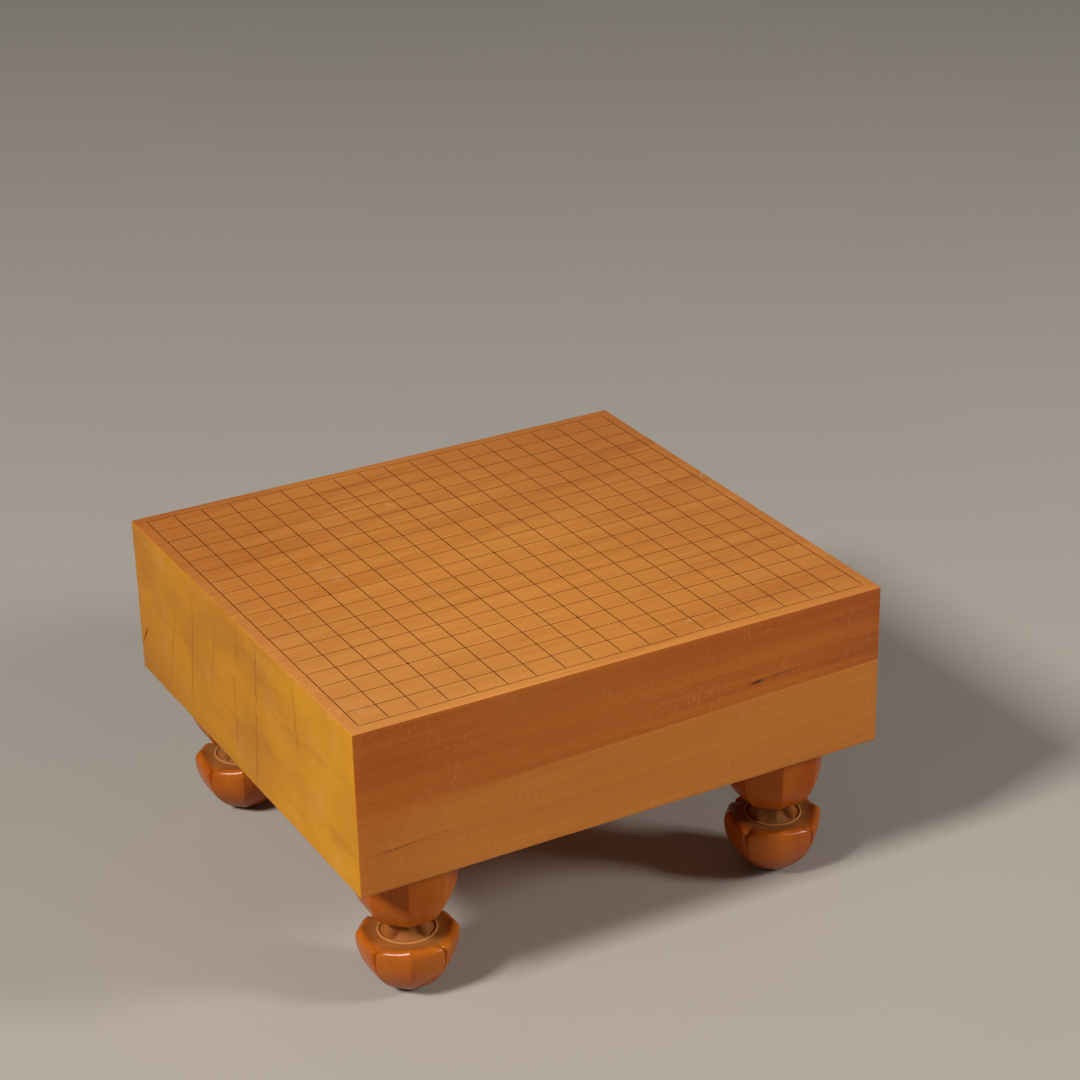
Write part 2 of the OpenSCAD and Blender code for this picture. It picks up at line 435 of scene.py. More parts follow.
# %% [markdown]
# The two ends are sealed end grain, a much yellower surface. Drying checks run down it as thin wavy
# lines, close to the rays of the trunk, with soft darker smears along the rings. They could be cut as
# grooves, but they are finer than the mesh, so each is a place at mid height, a lean and a stretch of
# height in the finish, and a little noise makes it wander.

# %% Finish of the ends
END_YELLOW = (0.488, 0.183, 0.008, 1)
END_PALE = (0.680, 0.294, 0.012, 1)
END_BROWN = (0.340, 0.112, 0.012, 1)
CHECK_BROWN = (0.120, 0.034, 0.006, 1)
END_SHEEN = 0.08
# Checks as y at mid height, lean in y for each unit of drop, lowest and highest height, and strength
END_CHECKS = [
    (0.1320, 0.34, 0.002, 0.090, 0.42),
    (0.0930, 0.17, 0.012, 0.122, 0.50),
    (0.0520, 0.28, 0.030, 0.124, 0.40),
    (-0.0020, 0.03, 0.098, 0.136, 0.65),
    (0.0075, 0.02, 0.020, 0.088, 0.72),
    (-0.0340, 0.12, 0.000, 0.132, 0.60),
    (-0.1120, -0.04, 0.074, 0.134, 0.48),
]
CHECK_WIDTH = 0.0009
CHECK_WANDER = 0.008


def end_wood_finish():
    """Sealed yellow end grain with its drying checks."""
    material, root, place = start_finish("board_end_wood")
    x, y, z = axes_of(place)
    fibre = fibres(place)
    late_wood = late_wood_of(from_heart(place, y, z))
    mid_height = (TOP + UNDERSIDE) / 2
    cloud = grain(place, (6.0, 11.0, 20.0), 3.0, (1.0, 2.0, 3.0)).ramp(0.36, 0.64)
    smear = grain(place, (5.0, 13.0, 50.0), 3.0, (4.0, 1.0, 0.0)).ramp(0.50, 0.72)
    haze = grain(place, (5.0, 24.0, 17.0), 4.0, (2.0, 5.0, 1.0)).ramp(0.50, 0.74)
    patches = y.ramp(-0.02, -0.06) * y.ramp(-0.145, -0.10)
    patches = patches * z.ramp(UNDERSIDE + 0.035, UNDERSIDE + 0.070) * z.ramp(TOP - 0.010, TOP - 0.028)
    near_side = y.ramp(0.02, -0.13)
    low_back = y.ramp(0.02, 0.20) * z.ramp(mid_height, UNDERSIDE)
    colour = root.mix(END_YELLOW, END_PALE, cloud * 0.36 + near_side * 0.42)
    colour = root.mix(colour, END_BROWN, smear * 0.28 + low_back * 0.50)
    colour = root.mix(colour, END_BROWN, late_wood * patches * 0.42)
    wander = (grain(place, (1.0, 5.0, 70.0), 2.0, (9.0, 0.0, 0.0)) - 0.5) * CHECK_WANDER
    broken = grain(place, (2.0, 30.0, 55.0), 2.0, (0.0, 6.0, 0.0)).ramp(0.32, 0.52)
    for check_y, lean, low, high, strength in END_CHECKS:
        line = check_y + (mid_height - z) * lean + wander
        here = z.ramp(UNDERSIDE + low - 0.004, UNDERSIDE + low + 0.012)
        here = here * z.ramp(UNDERSIDE + high + 0.004, UNDERSIDE + high - 0.012)
        core = abs(y - line).ramp(CHECK_WIDTH, CHECK_WIDTH * 0.15)
        halo = abs(y - line).ramp(CHECK_WIDTH * 5, 0.0)
        colour = root.mix(colour, END_BROWN, halo * here * strength * 0.30)
        colour = root.mix(colour, CHECK_BROWN, core * here * broken * strength)
    colour = root.mix(colour, 0.94 + fibre * 0.10, 1.0, "MULTIPLY")
    dust = grain(place, (1.0, 90.0, 150.0), 3.0, (0.0, 4.0, 4.0)).ramp(0.62, 0.76)
    colour = root.mix(colour, SCUFF_PALE, dust * 0.20 + haze * 0.09)
    close_finish(root, {
        "Base Color": colour,
        "Roughness": 0.38 + cloud * 0.08 + dust * 0.2,
        "Specular IOR Level": END_SHEEN,
        "Normal": bumped(root, fibre * 0.5 + late_wood * patches, 0.2, 0.00008),
    })
    return material


print("end finish:", len(END_CHECKS), "drying checks")

# %% [markdown]
# A leg is one turned and carved piece: an eight-sided bell, a narrow neck that flares out to a thin
# ring, and a fruit with four lobes. Both its finish and its mesh follow the same heights, so the sizes
# come first. The outer ones are measured on the frame and the rest are the sizes of the carving.

# %% Sizes of a leg
leg_low, leg_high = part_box(LEG_NAMES[0])
BELL_TOP = (leg_high.x - leg_low.x) / 2
LEG_HEIGHT = UNDERSIDE - leg_low.z
TENON_LENGTH = leg_high.z - UNDERSIDE
TENON_RADIUS = 0.0150
TENON_CHAMFER = 0.0020
BELL_MID = 0.0367
BELL_FOOT = 0.0222
BELL_STRAIGHT = 0.033
BELL_HEIGHT = 0.0593
BELL_FULLNESS = 1.6
NECK_HALF = 0.0130
NECK_HEIGHT = 0.0157
ROOT_FLATS = 0.4
ROOT_POWER = 4
NECK_FLARE = 0.8
RING_RADIUS = 0.0225
RING_ROUND = 0.0011
FRUIT_WIDTH = 0.037
FRUIT_BASE = 0.0083
FRUIT_FULLNESS = 2.0
RIM_ROUND = 0.0046
DISH_DEPTH = 0.0003
CURVE_POWER = 1.4
EDGE_ROUND = 0.0008
RIM_DEPTH = BELL_HEIGHT + NECK_HEIGHT
WIDEST_DEPTH = RIM_DEPTH + RIM_ROUND
CORNER = 1 / math.cos(math.pi / 8)
GROOVE_DEPTH = 0.0045
GROOVE_FOOT = 0.0015
GROOVE_REACH = FRUIT_WIDTH * CORNER - GROOVE_DEPTH
GROOVE_END = FRUIT_BASE * CORNER - GROOVE_FOOT
GROOVE_CENTRE = (
    (GROOVE_END ** 2 + LEG_HEIGHT ** 2 - GROOVE_REACH ** 2 - WIDEST_DEPTH ** 2)
    / (2 * (LEG_HEIGHT - WIDEST_DEPTH))
)
GROOVE_RADIUS = math.hypot(GROOVE_REACH, WIDEST_DEPTH - GROOVE_CENTRE)
print("leg height", round(LEG_HEIGHT, 4), "and tenon", round(TENON_LENGTH, 4))

# %% [markdown]
# The legs are a redder wood under glossy lacquer, with the grain running up and down. Hands and cloths
# never reach the neck and the shoulder round it, so they are duller and browner. The thin ring between
# them is paler, partly rubbed and partly a painted highlight along its bead, and the lower fruit is
# darker, partly dirt and partly painted shade. Each leg gets its own seed, so that no two have the same
# figure, and its own share of the paler colour, which is painted light and shade: the front-left leg is
# paler, and the two right-hand legs, which stand in the board's shade, are redder and darker.

# %% Finish of the legs
LEG_RED = (0.390, 0.073, 0.003, 1)
LEG_ORANGE = (0.570, 0.165, 0.010, 1)
LEG_DEEP = (0.200, 0.034, 0.003, 1)
LEG_DUSTY = (0.255, 0.105, 0.030, 1)
# Paler colour for the ring: rubbed wear and a painted highlight
LEG_RING_WEAR_AND_HIGHLIGHT = (0.580, 0.235, 0.060, 1)
LEG_SHEEN = 0.10
LEG_COAT = 0.20
LEG_COAT_ROUGHNESS = 0.14
DUST_REACH = 0.0330
LEG_STREAK_STRETCH = (150.0, 150.0, 7.0)
LEG_FIBRE_STRETCH = (900.0, 900.0, 16.0)
LEG_CLOUD_STRETCH = (26.0, 26.0, 18.0)
# Painted light and shade: how much paler (lit) or redder (shaded) each leg is than the wood's own mix
LEG_LIGHT_AND_SHADE_SHARE = dict(zip(LEG_NAMES, (0.12, -0.20, 0.00, -0.20)))


def leg_finish(name, seed, pale):
    """Glossy red-brown wood, dull in the neck, and pale on the ring with wear and a painted highlight.
    """
    material, root, place = start_finish(name)
    x, y, z = axes_of(place)
    offset = (seed * 3.1, seed * 1.7, seed * 2.3)
    streak = grain(place, LEG_STREAK_STRETCH, 3.0, offset).ramp(0.34, 0.68)
    fibre = grain(place, LEG_FIBRE_STRETCH, 2.0, offset).ramp(0.3, 0.7)
    cloud = grain(place, LEG_CLOUD_STRETCH, 2.0, offset).ramp(0.35, 0.68)
    out = (x * x + y * y) ** 0.5
    dusty = z.ramp(-BELL_HEIGHT + 0.001, -BELL_HEIGHT)
    dusty = dusty * z.ramp(-RIM_DEPTH - 0.004, -RIM_DEPTH - 0.002)
    dusty = dusty * out.ramp(DUST_REACH + 0.004, DUST_REACH - 0.007)
    # Darker towards the foot: partly dirt near the floor, partly painted shade on the lower fruit,
    # which faces down
    low = z.ramp(-RIM_DEPTH - 0.015, -LEG_HEIGHT)
    high = z.ramp(-BELL_HEIGHT, -BELL_HEIGHT + 0.004)
    near_ring = z.ramp(-RIM_DEPTH + 0.003, -RIM_DEPTH + 0.002)
    near_ring = near_ring * z.ramp(-RIM_DEPTH - 0.004, -RIM_DEPTH - 0.003)
    # Paler on the ring: partly rubbed wear, partly a painted highlight along the bead
    ring_wear_and_highlight = abs(out - RING_RADIUS).ramp(RING_ROUND * 1.1, RING_ROUND * 0.7) * near_ring
    # The share given for each leg is painted light and shade, paler on a lit leg and redder on a shaded
    # one
    colour = root.mix(LEG_RED, LEG_ORANGE, cloud * 0.45 + streak * 0.20 + pale)
    colour = root.mix(colour, LEG_DEEP, fibre * streak * 0.18 + low * 0.52)
    colour = root.mix(colour, LEG_DUSTY, dusty * (0.55 + cloud * 0.35))
    colour = root.mix(colour, LEG_RING_WEAR_AND_HIGHLIGHT, ring_wear_and_highlight * 0.8)
    close_finish(root, {
        "Base Color": colour,
        "Roughness": 0.28 + streak * 0.05 + dusty * 0.26,
        "Specular IOR Level": LEG_SHEEN,
        "Coat Weight": LEG_COAT - dusty * 0.18 - low * 0.13 - high * 0.13,
        "Coat Roughness": LEG_COAT_ROUGHNESS,
        "Normal": bumped(root, fibre * 0.4 + streak * 0.6, 0.10, 0.00005),
    })
    return material


print("leg finish: dusty from", BELL_HEIGHT, "to", RIM_DEPTH, "m below the block")

# %% [markdown]
# The lines are hardened lacquer, nearly black, laid with a blade in two passes. In places the wood
# shows through where the film has worn thin. A single black would look printed, so a little brown comes
# through in soft patches, more in the lines along the grain than in those laid over them.

# %% Finish of the lacquer
LACQUER_BLACK = (0.042, 0.006, 0.001, 1)
LACQUER_SHEEN = 0.10
LACQUER_WORN = (0.250, 0.042, 0.004, 1)


def lacquer_finish(name, worn_share):
    """Dark lacquer that lets some brown through, as far as it is worn."""
    material, root, place = start_finish(name)
    wear = grain(place, (40.0, 40.0, 40.0), 3.0, (3.0, 1.0, 0.0)).ramp(0.45, 0.70)
    pits = grain(place, (900.0, 900.0, 900.0), 2.0).ramp(0.35, 0.75)
    colour = root.mix(LACQUER_BLACK, LACQUER_WORN, worn_share * (0.45 + wear * 0.55) + pits * 0.06)
    close_finish(root, {
        "Base Color": colour,
        "Roughness": 0.36 + wear * 0.2,
        "Specular IOR Level": LACQUER_SHEEN,
        "Normal": bumped(root, pits, 0.2, 0.00003),
    })
    return material


print("lacquer finish: black", LACQUER_BLACK[:3], "worn to", LACQUER_WORN[:3])

# %% [markdown]
# The block is planed wood, so its faces are flat and its arrises are slightly rounded and dinged. A
# plain box would catch no light along its edges. A finely divided box, with its arrises bevelled and
# then pushed in a little by noise, catches broken light as worn wood does.

# %% The outside of the block
ARRIS_ROUND = 0.0009
ARRIS_SEGMENTS = 3
ARRIS_REACH = ARRIS_ROUND * 1.01
BLOCK_CUTS = 44
SQUARE_EDGE = 1.0
DING_DEPTH = 0.0009
DING_CYCLES = 38.0


def mesh_piece(name, body, node):
    """A new empty piece that rides on a body and stands for a CAD node."""
    piece = bpy.data.objects.new(name, bpy.data.meshes.new(name))
    bpy.context.scene.collection.objects.link(piece)
    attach(piece, body)
    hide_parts(node)
    return piece


def shade_smooth(data, crease):
    """Smooth shading, apart from edges that turn by more than crease."""
    for face in data.polygons:
        face.use_smooth = True
    data.set_sharp_from_angle(angle=crease)


def worn_box():
    """The block's outside with rounded, slightly dinged arrises."""
    shape = bmesh.new()
    bmesh.ops.create_cube(shape, size=1.0)
    bmesh.ops.subdivide_edges(shape, edges=shape.edges, cuts=BLOCK_CUTS, use_grid_fill=True)
    size = block_high - block_low
    middle = (block_high + block_low) / 2
    for vert in shape.verts:
        vert.co = Vector(vert.co[i] * size[i] + middle[i] for i in range(3))
    sharp = [edge for edge in shape.edges if edge.calc_face_angle() > SQUARE_EDGE]
    bmesh.ops.bevel(
        shape, geom=sharp, offset=ARRIS_ROUND, segments=ARRIS_SEGMENTS, profile=0.5, affect="EDGES"
    )
    for vert in shape.verts:
        inward = Vector((0, 0, 0))
        for i in range(3):
            room = size[i] / 2 - abs(vert.co[i] - middle[i])
            if room < ARRIS_REACH:
                inward[i] = -math.copysign(1.0, vert.co[i] - middle[i])
        near_faces = inward.length_squared
        if near_faces > 1.5:
            ding = max(0.0, noise.noise(vert.co * DING_CYCLES)) ** 2
            vert.co += inward.normalized() * ding * DING_DEPTH
    return shape


block = mesh_piece("board_block_wood", "board", "board_block")
outside = worn_box()
outside.to_mesh(block.data)
outside.free()
print("outside of the block:", len(block.data.polygons), "faces, arrises rounded by", ARRIS_ROUND, "m")

# %% [markdown]
# Underneath, a square hollow with sloping sides lets the thick block dry evenly, and four round
# mortises take the tenons of the legs. The holes could be modelled face by face, but a boolean cuts
# them all at once, from the same sizes as the CAD. A thin spindle cuts the small drying split in the
# left end in the same way.

# %% Cutters for the block
MORTISE_RADIUS = 0.01505
MORTISE_DEPTH = 0.040
MORTISE_SIDES = 64
HOLLOW_MOUTH = 0.090
HOLLOW_LEAN = 0.020
HOLLOW_DEPTH = 0.025
CUT_OVERRUN = 0.002
SPLIT_MIDDLE = Vector((-HALF_LENGTH, 0.2010, UNDERSIDE + 0.0350))
SPLIT_ALONG = Vector((0.0, 0.59, -0.81))
SPLIT_LENGTH = 0.018
SPLIT_WIDTH = 0.0010
SPLIT_DEPTH = 0.0030


def leg_axis(name):
    """Middle of a leg's box, which lies on its axis."""
    low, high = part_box(name)
    return (low + high) / 2


def frustum(low_half, high_half, low_z, high_z):
    """A square pyramid cut off at both ends."""
    shape = bmesh.new()
    rings = []
    for half, z in ((low_half, low_z), (high_half, high_z)):
        corners = [(-half, -half), (half, -half), (half, half), (-half, half)]
        rings.append([shape.verts.new((x, y, z)) for x, y in corners])
    shape.faces.new(reversed(rings[0]))
    shape.faces.new(rings[1])
    for i in range(4):
        j = (i + 1) % 4
        shape.faces.new((rings[0][i], rings[0][j], rings[1][j], rings[1][i]))
    return shape


def rod(place, radius, low_z, high_z):
    """An upright rod for boring a mortise."""
    shape = bmesh.new()
    upright = Matrix.Translation((place.x, place.y, (low_z + high_z) / 2))
    bmesh.ops.create_cone(
        shape, cap_ends=True, segments=MORTISE_SIDES, radius1=radius, radius2=radius,
        depth=high_z - low_z, matrix=upright,
    )
    return shape


def split_spindle():
    """A thin spindle, pointed at both ends, for the small split in the left end."""
    shape = bmesh.new()
    side = Vector((1, 0, 0)).cross(SPLIT_ALONG)
    rim = [
        SPLIT_MIDDLE + Vector((-SPLIT_DEPTH, 0, 0)), SPLIT_MIDDLE + side * SPLIT_WIDTH,
        SPLIT_MIDDLE + Vector((SPLIT_DEPTH, 0, 0)), SPLIT_MIDDLE - side * SPLIT_WIDTH,
    ]
    ring = [shape.verts.new(corner) for corner in rim]
    for end in (-SPLIT_LENGTH, SPLIT_LENGTH):
        tip = shape.verts.new(SPLIT_MIDDLE + SPLIT_ALONG * end)
        for i in range(4):
            shape.faces.new((ring[i], ring[(i + 1) % 4], tip))
    return shape


lean_below = HOLLOW_LEAN * CUT_OVERRUN / HOLLOW_DEPTH
cutters = [frustum(
    HOLLOW_MOUTH / 2 + lean_below, HOLLOW_MOUTH / 2 - HOLLOW_LEAN,
    UNDERSIDE - CUT_OVERRUN, UNDERSIDE + HOLLOW_DEPTH,
)]
for leg_name in LEG_NAMES:
    place = leg_axis(leg_name)
    cutters.append(rod(place, MORTISE_RADIUS, UNDERSIDE - CUT_OVERRUN, UNDERSIDE + MORTISE_DEPTH))
cutters.append(split_spindle())
print("the block is cut by", len(cutters), "shapes")

# %% [markdown]
# One wood shows in three ways: as a top, as sides and as ends. A single material with masks could hold
# all three, but three materials, chosen by the way that each face looks, keep every finish short.

# %% Cut and colour the block
END_FACING = 0.72
TOP_FACING = 0.35
BLOCK_CREASE = math.radians(40)


def cut_from(piece, cutters):
    """Cuts each bmesh out of a piece with an exact boolean, and keeps the result as plain mesh."""
    tools = []
    for cutter in cutters:
        data = bpy.data.meshes.new("cutter")
        bmesh.ops.recalc_face_normals(cutter, faces=cutter.faces)
        cutter.to_mesh(data)
        cutter.free()
        tool = bpy.data.objects.new("cutter", data)
        bpy.context.scene.collection.objects.link(tool)
        cut = piece.modifiers.new("cut", "BOOLEAN")
        cut.operation = "DIFFERENCE"
        cut.solver = "EXACT"
        cut.object = tool
        tools.append(tool)
    evaluated = piece.evaluated_get(bpy.context.evaluated_depsgraph_get())
    result = bpy.data.meshes.new_from_object(evaluated)
    piece.modifiers.clear()
    piece.data = result
    for tool in tools:
        bpy.data.objects.remove(tool)


cut_from(block, cutters)
for finish in (top_finish(), side_finish(), end_wood_finish()):
    block.data.materials.append(finish)
for face in block.data.polygons:
    toward = face.normal
    if abs(toward.x) > END_FACING:
        face.material_index = 2
    elif toward.z > TOP_FACING:
        face.material_index = 0
    else:
        face.material_index = 1
shade_smooth(block.data, BLOCK_CREASE)
print("block has", len(block.data.polygons), "faces")

# %% [markdown]
# The carving could be sculpted by hand, but every station down the leg is a known outline, so the mesh
# is swept: a list of stations gives half width and depth. A station also says how eight-sided it is,
# how much of the rim's rise and fall it takes, and whether creases or buds are carved there.

# %% Stations down a leg
Station = namedtuple("Station", "width depth flats dip carved bud")
TOP_EDGE_STEPS = 4
BELL_SIDE_STEPS = 6
BELL_CURVE_STEPS = 26
NECK_STEPS = 26
RING_STEPS = 8
DISH_STEPS = 12
RIM_STEPS = 10
FRUIT_STEPS = 34


def swell(t, fullness):
    """Share of the width that is left at t, from 1 at the top of a curve to 0 at its foot."""
    return max(0.0, 1 - t ** fullness) ** (1 / CURVE_POWER)


def eased(count):
    """Steps from 0 to 1 that crowd towards 1."""
    return [math.sin(math.pi / 2 * i / count) for i in range(count + 1)]


def arc(count):
    """Angles of a quarter turn."""
    return [math.pi / 2 * i / count for i in range(count + 1)]


def leg_stations():
    """Stations from the tenon's end down to the foot."""
    found = [
        Station(TENON_RADIUS - TENON_CHAMFER, -TENON_LENGTH, 0, 0, 0, 0),
        Station(TENON_RADIUS, TENON_CHAMFER - TENON_LENGTH, 0, 0, 0, 0),
        Station(TENON_RADIUS, 0, 0, 0, 0, 0),
    ]
    for a in arc(TOP_EDGE_STEPS):
        width = BELL_TOP - EDGE_ROUND * (1 - math.sin(a))
        found.append(Station(width, EDGE_ROUND * (1 - math.cos(a)), 1, 0, 0, 0))
    for i in range(1, BELL_SIDE_STEPS):
        t = i / BELL_SIDE_STEPS
        depth = EDGE_ROUND + (BELL_STRAIGHT - EDGE_ROUND) * t
        found.append(Station(BELL_TOP + (BELL_MID - BELL_TOP) * t, depth, 1, 0, 0, 0))
    for t in eased(BELL_CURVE_STEPS):
        width = BELL_FOOT + (BELL_MID - BELL_FOOT) * swell(t, BELL_FULLNESS)
        depth = BELL_STRAIGHT + t * (BELL_HEIGHT - BELL_STRAIGHT)
        found.append(Station(width, depth, 1, 0, 0, 0))
    neck_root = (RING_RADIUS - RING_ROUND) / (ROOT_FLATS * CORNER + 1 - ROOT_FLATS)
    for a in arc(NECK_STEPS):
        width = NECK_HALF + (neck_root - NECK_HALF) * (1 - math.cos(a)) ** NECK_FLARE
        depth = BELL_HEIGHT + NECK_HEIGHT * math.sin(a)
        flats = 1 - (1 - ROOT_FLATS) * math.sin(a) ** ROOT_POWER
        found.append(Station(width, depth, flats, 0, 0, 1))
    for i in range(1, RING_STEPS):
        a = math.pi * i / RING_STEPS
        width = RING_RADIUS - RING_ROUND * math.cos(a)
        found.append(Station(width, RIM_DEPTH - RING_ROUND * math.sin(a), 0, 0, 0, 0))
    dish_inner = RING_RADIUS + RING_ROUND
    dish_outer = FRUIT_WIDTH - RIM_ROUND
    for i in range(DISH_STEPS):
        t = i / DISH_STEPS
        depth = RIM_DEPTH + DISH_DEPTH * math.sin(math.pi * t)
        found.append(Station(dish_inner + (dish_outer - dish_inner) * t, depth, t, t * t, 0, 0))
    for a in arc(RIM_STEPS):
        width = dish_outer + RIM_ROUND * math.sin(a)
        depth = RIM_DEPTH + RIM_ROUND * (1 - math.cos(a))
        found.append(Station(width, depth, 1, math.cos(a), 1, 0))
    for t in eased(FRUIT_STEPS)[1:]:
        width = FRUIT_BASE + (FRUIT_WIDTH - FRUIT_BASE) * swell(t, FRUIT_FULLNESS)
        depth = WIDEST_DEPTH + t * (LEG_HEIGHT - WIDEST_DEPTH)
        found.append(Station(width, depth, 1, 0, 1, 0))
    return found


print("a leg has", len(leg_stations()), "stations")

# %% [markdown]
# Each lobe of the fruit rises at its middle and falls into the crease beside it, and soft buds sit on
# the neck. They could be separate lumps that are pushed into the leg, but their edges would show. Here
# each point is moved in or out along its own ray, and up or down, so the surface stays whole. The
# points crowd together at the eight corners, where the shape turns fastest.

# %% Points round a station
CORNER_SHARPNESS = 180
FACET_FULLNESS = 0.012
LOBE_FULLNESS = 0.026
HALF_FACET_POINTS = 12
CROWDING = 1.8
GROOVE_SPREAD = 0.85
GROOVE_LIP = 1.6
GROOVE_FADE = 0.30
DIP_DEPTH = 0.0042
DIP_SPREAD = 0.0105
LOBE_RISE = 0.0026
LOBE_PEAK = 3
NOTCH_POWER = 2
BUD_DEPTH = BELL_HEIGHT + 0.0060
BUD_RADIUS = 0.0056
BUD_RISE = 0.0070
BUD_RUN = 0.0120
BUD_HEIGHT = 0.0050
BUD_SOFTNESS = 1.2
TOOL_MARKS = 0.00012
TOOL_CYCLES = 90


def leg_angles():
    """Angles round a leg, crowded at the eight corners."""
    found = []
    for corner in range(8):
        for step in range(-HALF_FACET_POINTS, HALF_FACET_POINTS):
            t = step / HALF_FACET_POINTS
            found.append(math.pi / 8 * (1 + 2 * corner + math.copysign(abs(t) ** CROWDING, t)))
    return found


def eight_sides(angle):
    """Distance to a softened octagon whose flats lie at distance 1."""
    total = sum(max(0.0, math.cos(angle - math.pi / 4 * k)) ** CORNER_SHARPNESS for k in range(8))
    return total ** (-1 / CORNER_SHARPNESS)


def from_facet(angle):
    """Angle to the middle of the nearest of the eight facets."""
    return abs((angle + math.pi / 8) % (math.pi / 4) - math.pi / 8)


def from_groove(angle):
    """Angle to the nearest of the four grooves, which lie on every other corner."""
    return abs((angle - math.pi / 8 + math.pi / 4) % (math.pi / 2) - math.pi / 4)


def carved_point(station, angle, seed):
    """One point of the carving, in the leg's own space."""
    flat = station.flats
    fullness = LOBE_FULLNESS if station.carved else FACET_FULLNESS
    full = 1 + fullness * (1 - (from_facet(angle) * 8 / math.pi) ** 2)
    radius = station.width * (flat * eight_sides(angle) * full + 1 - flat)
    depth = station.depth
    aside = from_groove(angle) * radius
    if station.carved:
        rest = max(0.0, GROOVE_RADIUS ** 2 - (depth - GROOVE_CENTRE) ** 2) ** 0.5
        fade = 1 - GROOVE_FADE * max(0.0, depth - GROOVE_CENTRE) / (LEG_HEIGHT - GROOVE_CENTRE)
        groove = max(0.0, station.width * CORNER - rest) * fade
        across = aside / (GROOVE_SPREAD * groove + 1e-6)
        radius -= groove * max(0.0, 1 - across) ** GROOVE_LIP
    notch = max(0.0, 1 - aside / DIP_SPREAD) ** NOTCH_POWER
    peak = (from_groove(angle) * 4 / math.pi) ** LOBE_PEAK
    depth += station.dip * (DIP_DEPTH * notch - LOBE_RISE * peak)
    if station.bud:
        length = BUD_RUN if depth > BUD_DEPTH else BUD_RISE
        round_bud = 1 - (aside / BUD_RADIUS) ** 2 - ((depth - BUD_DEPTH) / length) ** 2
        radius += BUD_HEIGHT * max(0.0, round_bud) ** BUD_SOFTNESS
    point = Vector((radius * math.cos(angle), radius * math.sin(angle), -depth))
    if 0 < station.depth < LEG_HEIGHT:
        ripple = noise.noise(point * TOOL_CYCLES + Vector((seed, seed, seed)))
        point.x += ripple * TOOL_MARKS * math.cos(angle)
        point.y += ripple * TOOL_MARKS * math.sin(angle)
    return point


print("each station has", len(leg_angles()), "points")

# %% [markdown]
# The four legs are the same carving, each with its own tool marks and its own figure in the wood. One
# mesh could serve all four, but copies of one piece look made by a machine.

# %% Carve the four legs
LEG_CREASE = math.radians(48)
SEED_STEP = 7.3


def leg_mesh(data, seed):
    """Fills a mesh with the rows of points of one leg, closed at both ends."""
    angles = leg_angles()
    stations = leg_stations()
    count = len(angles)
    points = [carved_point(station, angle, seed) for station in stations for angle in angles]
    faces = []
    for row in range(len(stations) - 1):
        for i in range(count):
            j = (i + 1) % count
            above = row * count
            below = above + count
            faces.append((above + i, below + i, below + j, above + j))
    faces.append(tuple(range(count)))
    last = (len(stations) - 1) * count
    faces.append(tuple(last + i for i in reversed(range(count))))
    data.from_pydata(points, [], faces)
    shade_smooth(data, LEG_CREASE)


for seed, leg_name in enumerate(LEG_NAMES):
    leg = bpy.data.objects.new(leg_name + "_carved", bpy.data.meshes.new(leg_name + "_carved"))
    bpy.context.scene.collection.objects.link(leg)
    leg_mesh(leg.data, seed * SEED_STEP)
    axis = leg_axis(leg_name)
    leg.location = (axis.x, axis.y, UNDERSIDE)
    finish = leg_finish(leg_name + "_lacquered_wood", seed + 1.0, LEG_LIGHT_AND_SHADE_SHARE[leg_name])
    leg.data.materials.append(finish)
    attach(leg, leg_name)
    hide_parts(leg_name)
    print(leg.name, "has", len(leg.data.polygons), "faces")

# %% [markdown]
# The grid is lacquer that stands up from the wood by a tenth of a millimetre or two. Flat bars would do
# at a distance, but a drop of lacquer has a round back, and a hand-laid line swells and thins a little.
# Each line is a strip of cross-sections with a round back, and the lines across the grain are laid over
# the others.

# %% The lacquered grid
along_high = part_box("lines_along_grain")[1]
across_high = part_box("lines_across_grain")[1]
LINE_COUNT = 19
LINE_WIDTH = 0.00070
ALONG_HEIGHT = along_high.z - TOP
ACROSS_HEIGHT = across_high.z - TOP
GRID_HALF_X = along_high.x - LINE_WIDTH / 2
GRID_HALF_Y = across_high.y - LINE_WIDTH / 2
LINE_PROFILE = 6
LINE_SEGMENTS = 72
LINE_BACK = 0.7
LINE_CREASE = math.radians(60)
TIP_SHARE = 0.5
WIDTH_CHANGE = 0.16
WIDTH_CYCLES = 60
ALONG_WORN = 0.55
ACROSS_WORN = 0.25


def lacquer_line(shape, start, end, height):
    """One line with a round back, from start to end on the top face."""
    along = (end - start).normalized()
    side = Vector((-along.y, along.x, 0))
    rows = []
    for i in range(LINE_SEGMENTS + 1):
        t = i / LINE_SEGMENTS
        middle = start.lerp(end, t)
        swelling = 1 - WIDTH_CHANGE * (0.5 + 0.5 * noise.noise(middle * WIDTH_CYCLES))
        tip = TIP_SHARE if i in (0, LINE_SEGMENTS) else 1.0
        row = []
        for k in range(LINE_PROFILE + 1):
            a = math.pi * k / LINE_PROFILE
            across = side * (math.cos(a) * LINE_WIDTH / 2 * swelling * tip)
            up = Vector((0, 0, math.sin(a) ** LINE_BACK * height * tip))
            row.append(shape.verts.new(middle + across + up))
        rows.append(row)
    for i in range(LINE_SEGMENTS):
        for k in range(LINE_PROFILE):
            shape.faces.new((rows[i][k], rows[i + 1][k], rows[i + 1][k + 1], rows[i][k + 1]))
        shape.faces.new((rows[i][0], rows[i][-1], rows[i + 1][-1], rows[i + 1][0]))
    shape.faces.new(reversed(rows[0]))
    shape.faces.new(rows[-1])


